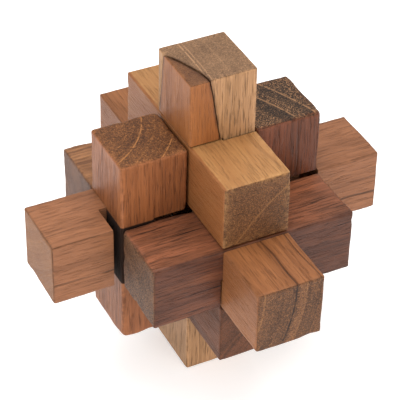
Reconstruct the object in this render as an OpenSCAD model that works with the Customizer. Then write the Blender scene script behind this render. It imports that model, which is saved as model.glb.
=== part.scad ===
// Burr puzzle: nine square wooden sticks in three crossing rows, locked by their notches alone.
// Millimetres, +Z up. The level sticks run along X and Y. The origin is the middle of the long
// upright's foot, on the table, so the middle of the cluster is half a long stick above it.

/* [Sticks] */
// Width and thickness of every stick
stick_w = 19; // [12:0.5:30]
// Gap left between two neighbouring sticks, and around a neck in its notch
play = 0.4; // [0.2:0.1:1.2]
// Length of a centre stick's end block, beyond the sticks that it crosses
long_end = 19; // [8:0.5:40]
// Length of a side stick's end block, beyond its one crossing
side_end = 19; // [8:0.5:40]
// Bevel worn along every outer edge
wear = 0.5; // [0.2:0.1:1.2]
// Extra length cut from the left end of the key crossbar's notch, beside the left upright
key_relief = 1.8; // [0:0.1:3]

/* [Seating] */
// How far the left upright hangs below its middle place
left_sag = 0.2; // [0:0.1:0.3]
// How far the front crossbar stands out from its middle place
front_slack = 0.3; // [0:0.1:0.3]

/* [Mended corner] */
// Width of the patch on the left face, at the top
patch_left_top = 15.8; // [8:0.1:17]
// Width of the patch on the front face, at the top
patch_front_top = 5.2; // [2:0.1:9]
// Width of the patch on the left face, at the bottom of the end block
patch_left_foot = 18.3; // [8:0.1:18.5]
// Width of the patch on the front face, at the bottom of the end block
patch_front_foot = 8.5; // [2:0.1:9]
// Thickness of the glue line behind the patch
glue = 0.15; // [0.05:0.05:0.4]

/* [Hidden] */
pitch = stick_w + play;              // from one stick's middle to the next one's
half_gap = play / 2;                 // a halved neck stops this far short of the middle
crossing = pitch / 2 + half_gap;     // half the length of a notch for one crossing
core = 1.5 * pitch + half_gap;       // from the middle to a long stick's end block
long_len = 2 * (core + long_end);
side_len = 2 * (crossing + side_end);
mid_z = long_len / 2;                // height of the cluster's middle
out = 3 * stick_w;                   // safely outside any one stick
ALL = [-out, out];

// Box between the given limits along X, Y and Z.
module box(x, y, z) {
    translate([x[0], y[0], z[0]]) cube([x[1] - x[0], y[1] - y[0], z[1] - z[0]]);
}

// Rectangle a by b about its middle, with its corners bevelled.
module bevelled(a, b) {
    x = a / 2;
    y = b / 2;
    w = wear;
    polygon([[x, y - w], [x - w, y], [w - x, y], [-x, y - w],
             [-x, w - y], [w - x, -y], [x - w, -y], [x, w - y]]);
}

// Upright square bar about its middle, with all of its edges bevelled.
module upright(len) {
    intersection() {
        linear_extrude(len, center = true) bevelled(stick_w, stick_w);
        rotate([90, 0, 0]) linear_extrude(stick_w, center = true) bevelled(stick_w, len);
        rotate([0, 90, 0]) linear_extrude(stick_w, center = true) bevelled(len, stick_w);
    }
}

module along_x(len) { rotate([0, 90, 0]) upright(len); }

module along_y(len) { rotate([-90, 0, 0]) upright(len); }

// Plan of the split corner: left and front are its widths on the two faces, and grow moves the
// split into the stick. The plan runs 1 mm past both faces.
module split_plan(left, front, grow) {
    a = left + grow * sqrt(1 + pow(left / front, 2));
    b = front + grow * sqrt(1 + pow(front / left, 2));
    c = -stick_w / 2;
    polygon([[c - 1, c - 1], [c + b * (1 + 1 / a), c - 1], [c - 1, c + a * (1 + 1 / b)]]);
}

// The split that runs down through the top end block of the long upright, to the notch below it.
module split(grow) {
    rise = 1;
    hull() {
        translate([0, 0, core - rise])
            linear_extrude(0.01) split_plan(patch_left_foot, patch_front_foot, grow);
        translate([0, 0, long_len / 2 + rise])
            linear_extrude(0.01) split_plan(patch_left_top, patch_front_top, grow);
    }
}

// Centre upright. It keeps its right half between the end blocks, and only the front of that in
// the middle.
module long_upright() {
    color("tan") translate([0, 0, mid_z]) difference() {
        upright(long_len);
        box([-out, half_gap], ALL, [-core, core]);
        box(ALL, [-half_gap, out], [-crossing, crossing]);
        split(glue);
    }
}

// Corner of the long upright's top end block, split off along the grain and glued back.
module corner_patch() {
    color("sienna") translate([0, 0, mid_z]) intersection() {
        upright(long_len);
        split(0);
        box(ALL, ALL, [core, out + core]);
    }
}

// Side upright. Its neck is the front left quarter, so the key's end block can slide beside it.
module side_upright() {
    difference() {
        upright(side_len);
        box(ALL, [-half_gap, out], [-crossing, crossing]);
        box([-half_gap, out], ALL, [-crossing, crossing]);
    }
}

module left_upright() {
    color("chocolate") translate([-pitch, 0, mid_z - left_sag]) side_upright();
}

module right_upright() {
    color("saddlebrown") translate([pitch, 0, mid_z]) side_upright();
}

// Centre crossbar along X, the key. It keeps its back half, and only the top of that in the
// middle, so it can slide half a stick to the left.
module key_crossbar() {
    color("peru") translate([0, 0, mid_z]) difference() {
        along_x(long_len);
        box([-core - key_relief, core], [-out, half_gap], ALL);
        box([-crossing, crossing], ALL, [-out, half_gap]);
    }
}

// Side crossbar along X. Its neck is the top half.
module side_crossbar() {
    difference() {
        along_x(side_len);
        box([-crossing, crossing], ALL, [-out, half_gap]);
    }
}

module front_crossbar() {
    color("brown") translate([0, -pitch - front_slack, mid_z]) side_crossbar();
}

module back_crossbar() {
    color("brown") translate([0, pitch, mid_z]) side_crossbar();
}

// Centre bar along Y. It keeps its lower half, and only the left of that in the middle.
module long_fore_bar() {
    color("peru") translate([0, 0, mid_z]) difference() {
        along_y(long_len);
        box(ALL, [-core, core], [-half_gap, out]);
        box([-half_gap, out], [-crossing, crossing], ALL);
    }
}

// Side bar along Y. Its neck is the left half.
module side_fore_bar() {
    difference() {
        along_y(side_len);
        box([-half_gap, out], [-crossing, crossing], ALL);
    }
}

module upper_fore_bar() {
    color("burlywood") translate([0, 0, mid_z + pitch]) side_fore_bar();
}

module lower_fore_bar() {
    color("saddlebrown") translate([0, 0, mid_z - pitch]) side_fore_bar();
}

long_upright();
corner_patch();
left_upright();
right_upright();
key_crossbar();
front_crossbar();
back_crossbar();
long_fore_bar();
upper_fore_bar();
lower_fore_bar();
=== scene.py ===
"""Looks of the burr puzzle: nine worn hardwood sticks and one mended corner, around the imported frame."""

import math
import random

import bpy
import numpy as np
from mathutils import Matrix, Vector, noise


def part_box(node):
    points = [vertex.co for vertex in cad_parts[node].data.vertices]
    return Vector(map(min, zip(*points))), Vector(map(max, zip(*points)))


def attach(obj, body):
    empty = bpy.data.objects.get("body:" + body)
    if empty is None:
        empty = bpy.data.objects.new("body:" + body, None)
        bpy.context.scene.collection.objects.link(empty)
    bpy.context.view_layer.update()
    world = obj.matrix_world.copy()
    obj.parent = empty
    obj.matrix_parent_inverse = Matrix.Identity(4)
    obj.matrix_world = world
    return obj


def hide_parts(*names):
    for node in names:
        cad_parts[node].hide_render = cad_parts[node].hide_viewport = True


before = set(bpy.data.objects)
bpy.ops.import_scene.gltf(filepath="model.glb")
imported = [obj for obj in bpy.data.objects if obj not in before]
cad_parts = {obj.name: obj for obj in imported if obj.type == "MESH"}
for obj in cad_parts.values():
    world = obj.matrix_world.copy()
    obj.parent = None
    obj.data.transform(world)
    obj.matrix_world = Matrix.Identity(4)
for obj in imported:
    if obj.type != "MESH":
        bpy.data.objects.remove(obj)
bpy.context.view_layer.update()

MM = 0.001
OUT = 1.0                      # farther than any piece reaches, in metres
ALL = (-OUT, OUT)

# ---------------------------------------------------------------- sizes, read from the frame


def middle(node):
    lo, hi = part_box(node)
    return (Vector(lo) + Vector(hi)) / 2


def extent(node):
    lo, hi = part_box(node)
    return Vector(hi) - Vector(lo)


WIDTH = extent("right_upright").x
PITCH = middle("right_upright").x - middle("long_fore_bar").x
HALF_GAP = (PITCH - WIDTH) / 2
CROSSING = PITCH / 2 + HALF_GAP          # half the length of a notch for one crossing stick
CORE = 1.5 * PITCH + HALF_GAP            # from the middle to a long stick's end block
RELIEF = 1.8 * MM                        # how much longer the key crossbar's notch is, at its left end
CENTRE = middle("key_crossbar")

# Notches of each kind of stick, as boxes about the stick's own middle.
NOTCHES = {
    "long_upright": [[(-OUT, HALF_GAP), ALL, (-CORE, CORE)], [ALL, (-HALF_GAP, OUT), (-CROSSING, CROSSING)]],
    "side_upright": [[ALL, (-HALF_GAP, OUT), (-CROSSING, CROSSING)],
                     [(-HALF_GAP, OUT), ALL, (-CROSSING, CROSSING)]],
    "key_crossbar": [[(-CORE - RELIEF, CORE), (-OUT, HALF_GAP), ALL],
                     [(-CROSSING, CROSSING), ALL, (-OUT, HALF_GAP)]],
    "side_crossbar": [[(-CROSSING, CROSSING), ALL, (-OUT, HALF_GAP)]],
    "long_fore_bar": [[ALL, (-CORE, CORE), (-HALF_GAP, OUT)], [(-HALF_GAP, OUT), (-CROSSING, CROSSING), ALL]],
    "side_fore_bar": [[(-HALF_GAP, OUT), (-CROSSING, CROSSING), ALL]],
}

# ---------------------------------------------------------------- stick shapes

RIM = [0, 0.13, 0.3, 0.52, 0.8, 1.15, 1.6, 2.2, 3.0]     # mesh lines near an outer edge, mm
STEP = 1.7 * MM                                          # spacing of the mesh lines elsewhere
EDGE_REACH = 4 * MM                                      # how far from an edge its wear can wander
RIM_WIDTH = 0.9 * MM                                     # how fast the rubbed rim fades from an edge
DENT = 0.06 * MM                                         # mean depth of the shallow dents in a face
ON_FACE = 1e-7                                           # a point this near a face lies on it


def mesh_lines(half, cuts):
    """Places from -half to half of the mesh lines: close together near both ends, and one at each cut."""
    rim = [r * MM for r in RIM]
    inner = half - rim[-1]
    count = max(2, round(2 * inner / STEP))
    lines = [-half + r for r in rim] + [-inner + 2 * inner * i / count for i in range(1, count)] + \
            [half - r for r in reversed(rim)]
    for cut in cuts:
        if abs(cut) < half - 1e-6:
            near = min(range(len(lines)), key=lambda i: abs(lines[i] - cut))
            if 0 < near < len(lines) - 1 and abs(lines[near] - cut) < 0.35 * MM:
                lines[near] = cut
            else:
                lines.append(cut)
    return np.array(sorted(lines))


def notched_block(half, notches):
    """Vertices and quads of a box of the given half sizes with its notches cut out, on a fine grid."""
    cuts = [[edge for n in notches for edge in n[k] if abs(edge) < OUT] for k in range(3)]
    axes = [mesh_lines(half[k], cuts[k]) for k in range(3)]
    mids = [(a[1:] + a[:-1]) / 2 for a in axes]
    wood = np.ones([len(m) for m in mids], bool)
    grid = np.meshgrid(*mids, indexing="ij")
    for n in notches:
        gone = np.ones_like(wood)
        for k in range(3):
            gone &= (grid[k] > n[k][0]) & (grid[k] < n[k][1])
        wood &= ~gone
    wood = np.pad(wood, 1)
    shape = [len(a) for a in axes]
    quads = []
    for k in range(3):
        step = np.diff(wood.astype(int), axis=k)
        for sign in (1, -1):
            # a face where wood starts (1) or ends (-1) along direction k
            at = np.argwhere(step == sign)
            corner = at.copy()
            other = [j for j in range(3) if j != k]
            corner[:, other] -= 1
            a, b = np.zeros(3, int), np.zeros(3, int)
            a[other[0]], b[other[1]] = 1, 1
            ring = [corner, corner + a, corner + a + b, corner + b]
            if (sign == 1) == (k != 1):
                ring = ring[::-1]
            quads.append(np.stack([np.ravel_multi_index(c.T, shape) for c in ring], 1))
    quads = np.concatenate(quads)
    used, quads = np.unique(quads, return_inverse=True)
    quads = quads.reshape(-1, 4)
    i, j, k = np.unravel_index(used, shape)
    return np.stack([axes[0][i], axes[1][j], axes[2][k]], 1), quads


def soft_noise(point, size, seed):
    """Smooth noise from about -1 to 1, with features of the given size in metres."""
    return noise.noise(Vector(point) / size + Vector((seed * 7.3, seed * 3.1, seed * 5.7)))


def chip_marks(half, count, rng):
    """Small knocks along the outer edges: a place, a reach and a depth each."""
    marks = []
    for _ in range(count):
        along = rng.randrange(3)
        place = [rng.choice((-1, 1)) * half[k] for k in range(3)]
        place[along] = rng.uniform(-1, 1) * half[along]
        marks.append((np.array(place), rng.uniform(0.8, 2.4) * MM, rng.uniform(0.25, 0.9) * MM))
    return marks


def worn(points, half, wear, rough, chips, seed):
    """Rounds the outer edges by a radius that wanders along them, and dents the faces, always inwards.
    Also gives each point's nearness to an outer edge, from 0 to 1."""
    rng = random.Random(seed)
    marks = chip_marks(half, chips, rng)
    half = np.array(half)
    out = points.copy()
    near_edge = np.zeros(len(points))
    for n, p in enumerate(points):
        gaps = np.sort(half - np.abs(p))
        if gaps[1] > EDGE_REACH:
            radius = wear
        else:
            radius = wear * (1 + 0.45 * soft_noise(p, 9 * MM, seed)) \
                + rough * max(0.0, soft_noise(p, 2.2 * MM, seed + 1)) \
                + 0.5 * rough * max(0.0, soft_noise(p, 0.9 * MM, seed + 2))
            for place, reach, depth in marks:
                off = (p - place) / reach
                d = off @ off
                if d < 6:
                    radius += depth * math.exp(-d)
        inner = half - radius
        core = np.clip(p, -inner, inner)
        over = p - core
        flat = np.abs(over).max()
        if flat > 0:
            over *= flat / np.linalg.norm(over)
        q = core + over
        if gaps[0] < ON_FACE:
            dent = DENT * (1 + soft_noise(p, 14 * MM, seed + 3))
            for k in range(3):
                if half[k] - abs(p[k]) < ON_FACE:
                    q[k] -= math.copysign(dent, p[k])
        out[n] = q
        near_edge[n] = math.exp(-gaps[1] / RIM_WIDTH) if gaps[0] < ON_FACE else 0.0
    return out, near_edge


def add_value(mesh, name, values):
    mesh.attributes.new(name, "FLOAT", "POINT").data.foreach_set("value", np.asarray(values, "f"))


def mesh_piece(name, points, faces):
    mesh = bpy.data.meshes.new(name)
    mesh.from_pydata([tuple(p) for p in points], [], [tuple(int(i) for i in f) for f in faces])
    piece = bpy.data.objects.new(name, mesh)
    bpy.context.scene.collection.objects.link(piece)
    return piece


def finish_shape(piece):
    """Smooth shading, kept sharp at the notches' corners."""
    mesh = piece.data
    mesh.shade_smooth()
    mesh.set_sharp_from_angle(angle=math.radians(42))


def stick(node, kind, wear, rough, chips, seed):
    """One stick, made about its own middle and then set in its place."""
    half = [e / 2 for e in extent(node)]
    points, faces = notched_block(half, NOTCHES[kind])
    shaped, near_edge = worn(points, half, wear * MM, rough * MM, chips, seed)
    piece = mesh_piece(node + "_wood", shaped + np.array(middle(node)), faces)
    add_value(piece.data, "rim", near_edge)
    finish_shape(piece)
    return piece


# ---------------------------------------------------------------- the mended corner

LONG_HALF = extent("long_upright").z / 2
PATCH_LO, PATCH_HI = (Vector(v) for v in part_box("corner_patch"))
SPLIT_LEFT = (18.3 * MM, 15.8 * MM)       # width of the patch on the left face: at its foot, at its top
SPLIT_FRONT = (PATCH_HI.x - PATCH_LO.x, 5.2 * MM)
SPLIT_BOW = 0.9 * MM                      # how far the split bows into the stick
CRACK = 0.3 * MM                          # width of the open crack


def split_line(up, grow):
    """The split's plan, from up = 0 at the end block's foot to 1 at its top, moved grow into the stick."""
    left = SPLIT_LEFT[0] + (SPLIT_LEFT[1] - SPLIT_LEFT[0]) * up
    front = SPLIT_FRONT[0] + (SPLIT_FRONT[1] - SPLIT_FRONT[0]) * up
    corner = -WIDTH / 2
    a, b = Vector((corner + front, corner)), Vector((corner, corner + left))
    along = b - a
    inward = Vector((along.y, -along.x)).normalized()
    line = []
    for i in range(13):
        t = -0.12 + 1.24 * i / 12
        ragged = 0.12 * MM * soft_noise((t * 0.02, up * 0.02, 0), 4 * MM, 5)
        bow = SPLIT_BOW * math.sin(math.pi * min(1, max(0, t)) ** 0.7) + ragged
        line.append(a + along * t + inward * (bow + grow))
    return line


def split_block(name, grow):
    """A closed block that fills the split corner, out to 3 mm beyond the stick's faces."""
    levels = 15
    height = LONG_HALF - CORE
    points, faces = [], []
    ring = 0
    for level in range(levels):
        up = -0.08 + 1.16 * level / (levels - 1)
        line = split_line(up, grow)
        far = -WIDTH / 2 - 3 * MM
        plan = [Vector((far, far)), Vector((line[0].x, far))] + line + [Vector((far, line[-1].y))]
        ring = len(plan)
        points += [(p.x, p.y, CENTRE.z + CORE + height * up) for p in plan]
    for level in range(levels - 1):
        for i in range(ring):
            j = (i + 1) % ring
            a, b = level * ring, (level + 1) * ring
            faces.append((a + i, a + j, b + j, b + i))
    faces.append(tuple(reversed(range(ring))))
    faces.append(tuple((levels - 1) * ring + i for i in range(ring)))
    return mesh_piece(name, points, faces)


def cut(piece, tool, operation):
    """Applies one exact boolean and throws the tool away."""
    step = piece.modifiers.new("cut", "BOOLEAN")
    step.operation, step.object, step.solver = operation, tool, "EXACT"
    graph = bpy.context.evaluated_depsgraph_get()
    mesh = bpy.data.meshes.new_from_object(piece.evaluated_get(graph))
    piece.modifiers.clear()
    old, piece.data = piece.data, mesh
    bpy.data.meshes.remove(old)
    bpy.data.objects.remove(tool)
    mesh.name = piece.name


def near_split(piece):
    """Stores how near each point is to the crack, from 0 to 1."""
    values = []
    height = LONG_HALF - CORE
    for v in piece.data.vertices:
        up = (v.co.z - CENTRE.z - CORE) / height
        if up < -0.05:
            values.append(0.0)
            continue
        line = split_line(up, CRACK / 2)
        p = Vector((v.co.x, v.co.y))
        values.append(math.exp(-min((p - q).length for q in dense(line)) / (0.7 * MM)))
    add_value(piece.data, "crack", values)


def dense(line):
    for a, b in zip(line, line[1:]):
        for i in range(4):
            yield a.lerp(b, i / 4)


def mended_pieces():
    """The long upright and its glued corner, split from one worn stick."""
    upright = stick("long_upright", "long_upright", 0.5, 0.2, 4, 12)
    patch = upright.copy()
    patch.data = upright.data.copy()
    patch.name = "corner_patch_wood"
    bpy.context.scene.collection.objects.link(patch)
    bpy.context.view_layer.update()
    cut(upright, split_block("split_tool", CRACK), "DIFFERENCE")
    cut(patch, split_block("split_tool", 0.0), "INTERSECT")
    top = CENTRE.z + LONG_HALF
    for v in patch.data.vertices:
        v.co.z -= 0.3 * MM * max(0.0, 1 - (top - v.co.z) / (3 * MM))
    for piece in (upright, patch):
        near_split(piece)
        finish_shape(piece)
    return upright, patch


# ---------------------------------------------------------------- shader arithmetic


class Shade:
    """One output of a shader node. Arithmetic on it adds Math nodes."""

    def __init__(self, tree, socket):
        self.tree, self.socket = tree, socket

    def node(self, kind, settings=None, sockets=None, out=0):
        """Adds any node: its settings first, then the values or links of its sockets."""
        made = self.tree.nodes.new(kind)
        for key, value in (settings or {}).items():
            if key == "stops":
                stops = made.color_ramp.elements
                while len(stops) < len(value):
                    stops.new(0.5)
                for stop, (place, colour) in zip(stops, value):
                    stop.position, stop.color = place, (*colour, 1)
            else:
                setattr(made, key, value)
        for key, value in (sockets or {}).items():
            if isinstance(value, Shade):
                self.tree.links.new(value.socket, made.inputs[key])
            else:
                made.inputs[key].default_value = value
        return Shade(self.tree, made.outputs[out])

    def maths(self, operation, *others, clamp=False):
        values = {0: self, **{i + 1: o for i, o in enumerate(others)}}
        return self.node("ShaderNodeMath", {"operation": operation, "use_clamp": clamp}, values)

    def __add__(self, other):
        return self.maths("ADD", other)

    __radd__ = __add__

    def __sub__(self, other):
        return self.maths("SUBTRACT", other)

    def __rsub__(self, other):
        return self.node("ShaderNodeMath", {"operation": "SUBTRACT"}, {0: other, 1: self})

    def __mul__(self, other):
        return self.maths("MULTIPLY", other)

    __rmul__ = __mul__

    def __pow__(self, other):
        return self.maths("POWER", other)

    def clamp(self):
        return self.maths("ADD", 0.0, clamp=True)

    def smooth(self, low, high):
        """0 below low, 1 above high, and a smooth rise between."""
        return self.node("ShaderNodeMapRange", {"interpolation_type": "SMOOTHSTEP"},
                         {"Value": self, "From Min": low, "From Max": high})

    def blend(self, one, other, how="MIX"):
        """Mixes two colours by this value."""
        return self.node("ShaderNodeMix", {"data_type": "RGBA", "blend_type": how},
                         {0: self, 6: one, 7: other}, out=2)


def tone(red, green, blue):
    """A colour given as it looks on a screen, from 0 to 255, as the linear colour a shader takes."""
    parts = (red, green, blue)
    return tuple(((c / 255 + 0.055) / 1.055) ** 2.4 if c > 10 else c / 3294.6 for c in parts) + (1.0,)


# ---------------------------------------------------------------- the woods


class Grain:
    """Places inside one stick, in millimetres from its middle: u and v across the grain, w along it."""

    def __init__(self, tree, node, along, seed):
        self.start = Shade(tree, None)
        self.seed = seed
        place = self.start.node("ShaderNodeTexCoord", out=3)
        place = self.start.node("ShaderNodeVectorMath", {"operation": "SUBTRACT"},
                                {0: place, 1: tuple(middle(node))})
        place = self.start.node("ShaderNodeVectorMath", {"operation": "SCALE"}, {0: place, "Scale": 1000.0})
        self.u, self.v, self.w = self.parted(place, along)
        facing = self.start.node("ShaderNodeTexCoord", out=1)
        self.end = self.parted(facing, along)[2].maths("ABSOLUTE").smooth(0.62, 0.86)

    def parted(self, vector, along):
        """The two parts of a vector across the grain, then the one along it."""
        xyz = [self.start.node("ShaderNodeSeparateXYZ", None, {0: vector}, out=k) for k in range(3)]
        return [xyz[k] for k in range(3) if k != along] + [xyz[along]]

    def noise(self, across, along, detail=2.0, rough=0.5, seed=0.0):
        """Noise with the given number of features per millimetre across and along the grain."""
        place = self.start.node("ShaderNodeCombineXYZ", None,
                                {0: self.u * across, 1: self.v * across,
                                 2: self.w * along + (self.seed + seed * 13.7)})
        return self.start.node("ShaderNodeTexNoise", None,
                               {"Vector": place, "Scale": 1.0, "Detail": detail, "Roughness": rough})

    def growth(self, pith):
        """Distance from the heart of the tree, which wanders a little along the stick and across it."""
        du, dv = self.u - pith[0], self.v - pith[1]
        sway = self.noise(0.05, 0.045, 1.0, 0.5, 1.0) - 0.5
        return (du * du + dv * dv).maths("SQRT") + sway * ((1 - self.end) * 3.0 + 0.8)

    def over_growth(self, growth, per_mm, detail, seed):
        return self.start.node("ShaderNodeTexNoise", {"noise_dimensions": "1D"},
                               {"W": growth * per_mm + (self.seed * 3.3 + seed),
                                "Scale": 1.0, "Detail": detail})

    def attribute(self, name):
        return self.start.node("ShaderNodeAttribute", {"attribute_name": name}, out=2)


def shade_of(colour, part):
    return tuple(c * part for c in colour[:3]) + (1.0,)


def wood(slot, node, along, pith, side, end, seed, lines=(), bands=0.6, streaks=0.6, splits=0.0, dashes=0.4,
         speckle=1.0, clouds=0.5, pale_rim=0.4, dark_rim=0.5, rough=0.45, neck=0.0, extra=None):
    """Open-pored hardwood. side is (pale, dark) and end is (pale, dark, line). Each of lines is one
    ring: its radius, half its width, how pale it is on the ends and how dark on the sides. neck is
    half the length of a neck to be painted nearly black, as painted shade for the gap in front of it."""
    material = bpy.data.materials.new(slot + "_grain")
    material.use_nodes = True
    tree = material.node_tree
    shader = tree.nodes["Principled BSDF"]
    g = Grain(tree, node, along, seed)
    growth = g.growth(pith)
    band = g.over_growth(growth, 0.22, 2.0, 9.0)          # broad light and dark years
    years = g.over_growth(growth, 0.9, 1.0, 5.0)
    streak = g.noise(0.7, 0.024, 4.0, 0.65, 3.0)
    strand = g.noise(2.6, 0.07, 3.0, 0.65, 4.0)
    fibre = g.noise(5.0, 0.3, 2.0, 0.6, 5.0)
    pores = g.noise(3.2, 0.14, 2.0, 0.6, 6.0).smooth(0.55, 0.67)
    cloud = g.noise(0.1, 0.06, 2.0, 0.55, 7.0)

    # the sides, along the grain
    depth = 0.5 + (band - 0.5) * bands + (years - 0.5) * (0.6 * bands) + (streak - 0.5) * (1.8 * streaks) \
        + (strand - 0.5) * (0.4 + 1.0 * dashes) + (cloud - 0.5) * (1.2 * clouds)
    colour = depth.clamp().blend(side[0], side[1])
    colour = (pores * dashes).clamp().blend(colour, shade_of(side[1], 0.62))
    if splits:
        gap = g.noise(0.85, 0.035, 4.0, 0.72, 12.0)
        colour = (gap.smooth(0.57, 0.66) * splits).clamp().blend(colour, shade_of(side[1], 0.55))
        colour = (gap.smooth(0.66, 0.72) * splits).clamp().blend(colour, shade_of(side[1], 0.16))
    # the ends, across it
    dots = g.noise(2.3, 2.3, 2.0, 0.7, 8.0)
    dust = g.noise(0.16, 0.16, 2.0, 0.6, 13.0)
    mix = 0.5 - (dots - 0.5) * (2.6 * speckle) + (years - 0.5) * (0.8 * bands) \
        + (band - 0.5) * (1.0 * bands) + (dust - 0.5) * (1.6 * clouds)
    ends = mix.clamp().blend(end[0], end[1])
    crumbs = g.noise(3.0, 3.0, 1.0, 0.5, 9.0)
    ends = (crumbs.smooth(0.55, 0.66) * (1.2 - mix) * (0.75 * speckle)).clamp().blend(ends, end[2])
    ends = (crumbs.smooth(0.45, 0.34) * (0.6 * speckle)).clamp().blend(ends, shade_of(end[1], 0.6))
    groove = None
    for radius, half_width, on_ends, on_sides in lines:
        away = (growth - radius).maths("ABSOLUTE")
        near = 1 - away.smooth(half_width * 0.5, half_width * 1.3)
        if on_ends:
            broken = g.noise(0.9, 0.9, 2.0, 0.6, radius).smooth(0.30, 0.52)
            ring = end[2] if on_ends > 0 else shade_of(end[1], 0.4)
            ends = (near * broken * abs(on_ends)).clamp().blend(ends, ring)
        if on_sides:
            broken = g.noise(0.3, 0.05, 2.0, 0.6, radius + 1.0).smooth(0.34, 0.5)
            near = near * broken * on_sides
            colour = near.clamp().blend(colour, shade_of(side[1], 0.3))
            groove = near if groove is None else groove + near

    colour = g.end.blend(colour, ends)
    rim = g.attribute("rim")
    rubbed = rim * g.noise(0.8, 0.8, 3.0, 0.65, 10.0).smooth(0.38, 0.66) * pale_rim
    colour = rubbed.clamp().blend(colour, shade_of(side[0], 1.3))
    worn_line = g.noise(0.5, 0.5, 3.0, 0.6, 11.0).smooth(0.30, 0.62)
    grimy = (rim ** 3.0) * (0.35 + worn_line * 0.65) * dark_rim
    colour = grimy.clamp().blend(colour, shade_of(side[1], 0.4))
    if extra:
        colour = extra(g, colour)
    gloss = rough + (fibre - 0.5) * 0.16 + pores * 0.12 + g.end * 0.10 + (cloud - 0.5) * 0.12
    if neck:
        # painted shade: nearly black, so that the gap in front of the neck reads as a dark one
        inside = 1 - g.w.maths("ABSOLUTE").smooth(neck - 0.5, neck)
        colour = (inside * 0.94).blend(colour, tone(16, 8, 5))
        gloss = gloss + inside * 0.5
    tree.links.new(colour.socket, shader.inputs["Base Color"])
    tree.links.new(gloss.clamp().socket, shader.inputs["Roughness"])
    height = strand * 0.5 + fibre * 0.35 - pores * (0.9 - g.end * 0.6) + g.end * (dots * 1.4 + crumbs * 0.5)
    if splits:
        height = height - gap.smooth(0.66, 0.72) * (2.0 * splits)
    if groove is not None:
        height = height - groove * (1.6 - g.end * 1.2)
    bump = g.start.node("ShaderNodeBump", None, {"Strength": 0.8, "Distance": 0.00022, "Height": height})
    tree.links.new(bump.socket, shader.inputs["Normal"])
    shader.inputs["Specular IOR Level"].default_value = 0.25
    return material


def crack_dirt_and_shade(g, colour):
    """Dirt and painted shade beside the crack of the mended corner, except on the left face."""
    seen = (g.u + 9.2).smooth(0.0, 0.8)
    mask = (g.attribute("crack") * (0.6 + g.noise(0.5, 0.2, 2.0, 0.6, 15.0) * 0.9)).smooth(0.3, 1.0)
    return (mask * seen * 0.85).clamp().blend(colour, tone(45, 20, 10))


def painted_left_shade(g, colour):
    """Painted shade: this stick is a deeper orange on its left side."""
    mask = (g.u + 9.0 + (g.noise(0.3, 0.05, 2.0, 0.6, 23.0) - 0.5) * 0.6).smooth(0.5, 0.0)
    return (mask * 0.62 * (1 - g.end)).clamp().blend(colour, tone(120, 60, 25))


def dark_front(g, colour):
    """Darker, in streaks, along the front side of this stick."""
    mask = (g.noise(0.25, 0.03, 3.0, 0.6, 21.0) * 3.0 - g.u - 9.6).smooth(0.0, 1.6)
    return (mask * 0.72 * (1 - g.end)).clamp().blend(colour, tone(60, 30, 20))


# Each stick: its kind of notches, body, slot, wear, roughness of its edges, number of chips, seed.
STICKS = [
    ("left_upright", "side_upright", "left_stick", "wood_orange", 0.8, 0.4, 14, 21),
    ("right_upright", "side_upright", "cluster", "wood_dark_red", 0.5, 1.0, 34, 31),
    ("key_crossbar", "key_crossbar", "key", "wood_medium", 0.65, 0.3, 10, 41),
    ("front_crossbar", "side_crossbar", "cluster", "wood_dark_streaked", 0.6, 0.7, 24, 51),
    ("back_crossbar", "side_crossbar", "cluster", "wood_brown_streaked", 0.7, 0.5, 14, 61),
    ("long_fore_bar", "long_fore_bar", "cluster", "wood_medium_brown", 0.6, 0.3, 9, 71),
    ("upper_fore_bar", "side_fore_bar", "cluster", "wood_light_golden", 0.5, 0.25, 8, 81),
    ("lower_fore_bar", "side_fore_bar", "cluster", "wood_red_brown", 0.7, 0.4, 12, 91),
]

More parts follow.
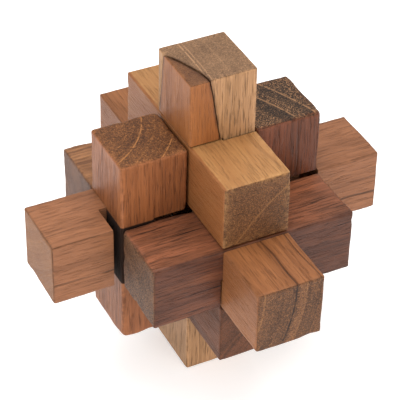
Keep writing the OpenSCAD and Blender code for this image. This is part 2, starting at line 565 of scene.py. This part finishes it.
WOODS = {
    "long_upright": wood("wood_grey_tan", "long_upright", 2, (-205, 5),
                         (tone(190, 145, 105), tone(125, 90, 55)),
                         (tone(145, 110, 80), tone(90, 65, 45), tone(170, 130, 95)), 1.3,
                         lines=[(201.0, 0.25, 0.8, 0.0), (202.0, 0.2, 0.6, 0.0), (207.5, 0.2, 0.25, 0.3)],
                         bands=0.35, streaks=0.3, dashes=0.75, speckle=0.7, dark_rim=0.3, extra=crack_dirt_and_shade),
    "corner_patch": wood("wood_orange_patch", "corner_patch", 2, (-30, 40),
                         (tone(165, 105, 60), tone(115, 65, 30)),
                         (tone(120, 80, 50), tone(70, 40, 25), tone(140, 95, 60)), 2.1,
                         bands=0.4, streaks=0.3, dashes=0.15, speckle=0.5, dark_rim=0.3, extra=crack_dirt_and_shade),
    "left_upright": wood("wood_orange", "left_upright", 2, (-23, 19),
                         (tone(160, 100, 60), tone(95, 50, 25)),
                         (tone(120, 75, 40), tone(65, 35, 15), tone(165, 110, 60)), 3.7,
                         lines=[(29.5, 0.18, 0.9, 0.2), (38.0, 0.18, 0.9, 0.2), (33.0, 0.15, 0.2, 0.0)],
                         bands=0.45, streaks=0.5, dashes=0.45, speckle=0.9,
                         pale_rim=0.6, dark_rim=0.3, neck=9.7),
    "right_upright": wood("wood_dark_red", "right_upright", 2, (-73, -34),
                          (tone(125, 70, 45), tone(60, 30, 15)),
                          (tone(105, 75, 50), tone(45, 30, 20), tone(155, 115, 80)), 4.9,
                          lines=[(83.5, 1.5, -0.6, 0.0), (77.5, 2.0, -0.65, 0.0),
                                 (85.0, 0.24, 0.8, 0.4), (79.5, 0.24, 0.8, 0.4)],
                          bands=0.7, streaks=0.8, dashes=0.5, speckle=2.2, splits=0.35,
                          pale_rim=0.4, dark_rim=0.5),
    "key_crossbar": wood("wood_medium", "key_crossbar", 0, (30, 42),
                         (tone(165, 110, 75), tone(105, 65, 40)),
                         (tone(150, 105, 70), tone(105, 65, 40), tone(165, 115, 75)), 5.2,
                         lines=[(60.0, 0.25, 0.15, 0.7), (48.0, 0.2, 0.2, 0.2)],
                         bands=0.4, streaks=0.4, dashes=0.2, speckle=0.2, clouds=0.4,
                         pale_rim=0.15, dark_rim=0.9),
    "front_crossbar": wood("wood_dark_streaked", "front_crossbar", 0, (26, -34),
                           (tone(150, 90, 60), tone(60, 35, 20)),
                           (tone(110, 75, 50), tone(50, 30, 15), tone(125, 90, 60)), 6.4,
                           bands=0.5, streaks=0.5, splits=1.0, dashes=0.5, speckle=1.2, clouds=0.8,
                           pale_rim=0.3, dark_rim=0.6, extra=dark_front),
    "back_crossbar": wood("wood_brown_streaked", "back_crossbar", 0, (-34, 22),
                          (tone(165, 115, 75), tone(90, 55, 35)),
                          (tone(120, 85, 65), tone(75, 50, 40), tone(130, 100, 75)), 7.8,
                          bands=0.7, streaks=0.8, splits=0.6, dashes=0.4, speckle=0.4, clouds=0.8,
                          pale_rim=0.2, dark_rim=0.7),
    "long_fore_bar": wood("wood_medium_brown", "long_fore_bar", 1, (-40, 8),
                          (tone(155, 100, 60), tone(110, 65, 35)),
                          (tone(120, 80, 50), tone(60, 35, 20), tone(145, 100, 60)), 8.1,
                          lines=[(37.5, 4.0, -0.3, 0.0), (47.0, 1.5, -0.3, 0.0), (41.5, 0.28, -0.95, 0.7),
                                 (48.5, 0.22, -0.5, 0.6), (32.5, 0.3, 0.55, 0.0), (44.5, 0.2, 0.35, 0.0)],
                          bands=0.8, streaks=0.25, dashes=0.3, speckle=0.9, pale_rim=0.25, dark_rim=0.6),
    "upper_fore_bar": wood("wood_light_golden", "upper_fore_bar", 1, (46, -48),
                           (tone(180, 135, 85), tone(135, 85, 45)),
                           (tone(115, 75, 45), tone(60, 35, 15), tone(140, 95, 55)), 9.6,
                           lines=[(65.0, 0.3, 0.6, 0.25), (69.0, 0.3, 0.15, 0.2)],
                           bands=0.3, streaks=0.2, dashes=0.1, speckle=0.8, clouds=0.5, pale_rim=0.5,
                           dark_rim=0.3, extra=painted_left_shade),
    "lower_fore_bar": wood("wood_red_brown", "lower_fore_bar", 1, (22, -30),
                           (tone(120, 70, 40), tone(65, 35, 20)),
                           (tone(110, 65, 40), tone(55, 30, 15), tone(120, 75, 45)), 10.3,
                           lines=[(38.0, 0.3, 0.3, 0.3)],
                           bands=0.6, streaks=0.6, dashes=0.4, speckle=0.6, pale_rim=0.2, dark_rim=0.6),
}


def dress(piece, node, body):
    piece.data.materials.clear()
    piece.data.materials.append(WOODS[node])
    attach(piece, body)
    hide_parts(node)


upright, patch = mended_pieces()
dress(upright, "long_upright", "cluster")
dress(patch, "corner_patch", "cluster")
for node, kind, body, slot, wear, rough, chips, seed in STICKS:
    dress(stick(node, kind, wear, rough, chips, seed), node, body)

# ---------------------------------------------------------------- camera, floor and light

CAMERA_FROM = Vector((-0.1744, -0.3366, 0.3022))    # from the cluster's middle to the camera
TURN, RISE, ROLL = (math.radians(a) for a in (27.2, 38.35, 1.18))
back = Vector((-math.sin(TURN) * math.cos(RISE), -math.cos(TURN) * math.cos(RISE), math.sin(RISE)))
right = Vector((0, 0, 1)).cross(back).normalized()
up = back.cross(right)
right, up = right * math.cos(ROLL) + up * math.sin(ROLL), up * math.cos(ROLL) - right * math.sin(ROLL)
camera = bpy.data.objects.new("camera", bpy.data.cameras.new("camera"))
bpy.context.scene.collection.objects.link(camera)
turned = Matrix((right, up, back)).transposed().to_4x4()
camera.matrix_world = Matrix.Translation(CENTRE + CAMERA_FROM) @ turned
camera.data.lens = 161.6
camera.data.sensor_width = 36
camera.data.clip_start = 0.01
bpy.context.scene.camera = camera


def floor():
    ground = mesh_piece("floor", [(-3, -3, 0), (3, -3, 0), (3, 3, 0), (-3, 3, 0)], [(0, 1, 2, 3)])
    paint = bpy.data.materials.new("floor_paint")
    paint.use_nodes = True
    shader = paint.node_tree.nodes["Principled BSDF"]
    shader.inputs["Base Color"].default_value = (0.9, 0.9, 0.9, 1)
    shader.inputs["Emission Color"].default_value = (1, 1, 1, 1)
    shader.inputs["Emission Strength"].default_value = 0.3
    shader.inputs["Roughness"].default_value = 0.9
    shader.inputs["Specular IOR Level"].default_value = 0.1
    ground.data.materials.append(paint)


def lamp(name, place, size, power, colour):
    """A square soft box that faces the cluster."""
    light = bpy.data.lights.new(name, "AREA")
    light.size, light.energy, light.color = size, power, colour
    box = bpy.data.objects.new(name, light)
    bpy.context.scene.collection.objects.link(box)
    place = Vector(place)
    turned = (place - CENTRE).to_track_quat("Z", "Y").to_matrix().to_4x4()
    box.matrix_world = Matrix.Translation(place) @ turned


floor()
lamp("left_soft_box", (-0.9, -0.25, 0.75), 0.8, 6.0, (0.95, 0.97, 1.0))
lamp("top_soft_box", (0.1, 0.1, 1.3), 1.2, 12.5, (1.0, 0.985, 0.97))
lamp("front_soft_box", (0.25, -1.2, 0.5), 0.8, 6.0, (1.0, 0.88, 0.75))
world = bpy.data.worlds.new("studio")
bpy.context.scene.world = world
world.use_nodes = True
world.node_tree.nodes["Background"].inputs["Color"].default_value = (1, 1, 1, 1)
world.node_tree.nodes["Background"].inputs["Strength"].default_value = 0.7
bpy.context.scene.view_settings.view_transform = "Standard"
